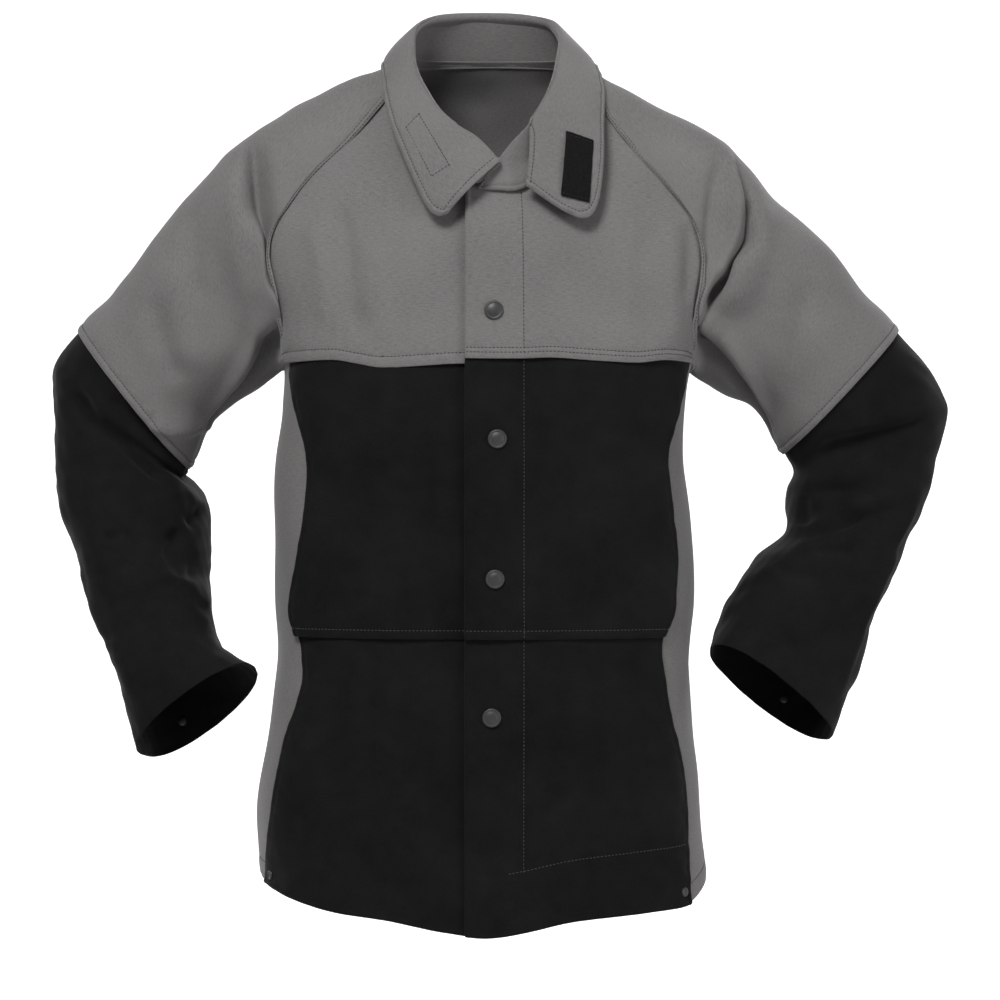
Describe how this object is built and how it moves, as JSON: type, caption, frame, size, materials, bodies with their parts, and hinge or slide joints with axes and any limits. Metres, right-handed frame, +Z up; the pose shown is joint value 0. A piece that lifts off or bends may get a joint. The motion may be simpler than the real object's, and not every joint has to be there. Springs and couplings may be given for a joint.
{
  "type": "welding jacket",
  "caption": "Closed welding jacket of grey cotton with black split-leather front panels and forearms, a turned-down collar and press snaps down a lapped front.",
  "frame": {"origin": "middle of the neck opening at the height of the shoulders, where the jacket hangs on its wearer", "axes": "+X to the wearer's left, -Y to the front, +Z up"},
  "size_m": [0.8269, 0.2635, 0.8351],
  "materials": {
    "cotton": "matt grey plain-woven cotton",
    "leather": "black suede split leather",
    "hook_and_loop": "black hook-and-loop pile",
    "gunmetal": "dark satin metal"
  },
  "bodies": {
    "root": {"right_yoke": "cotton", "right_side_panel": "cotton", "right_sleeve": "cotton", "left_yoke": "cotton", "left_side_panel": "cotton", "left_sleeve": "cotton", "back_panel": "cotton", "collar_stand": "cotton", "collar_leaf": "cotton", "right_upper_leather": "leather", "right_lower_leather": "leather", "right_forearm": "leather", "left_upper_leather": "leather", "left_lower_leather": "leather", "left_forearm": "leather", "loop_patch": "hook_and_loop", "hook_patch": "hook_and_loop", "right_hem_rivet": "gunmetal", "right_cuff_snap": "gunmetal", "left_hem_rivet": "gunmetal", "left_cuff_snap": "gunmetal", "snap_cap_1": "gunmetal", "snap_cap_2": "gunmetal", "snap_cap_3": "gunmetal", "snap_cap_4": "gunmetal", "snap_stud_1": "gunmetal", "snap_stud_2": "gunmetal", "snap_stud_3": "gunmetal", "snap_stud_4": "gunmetal"}
  },
  "joints": []
}
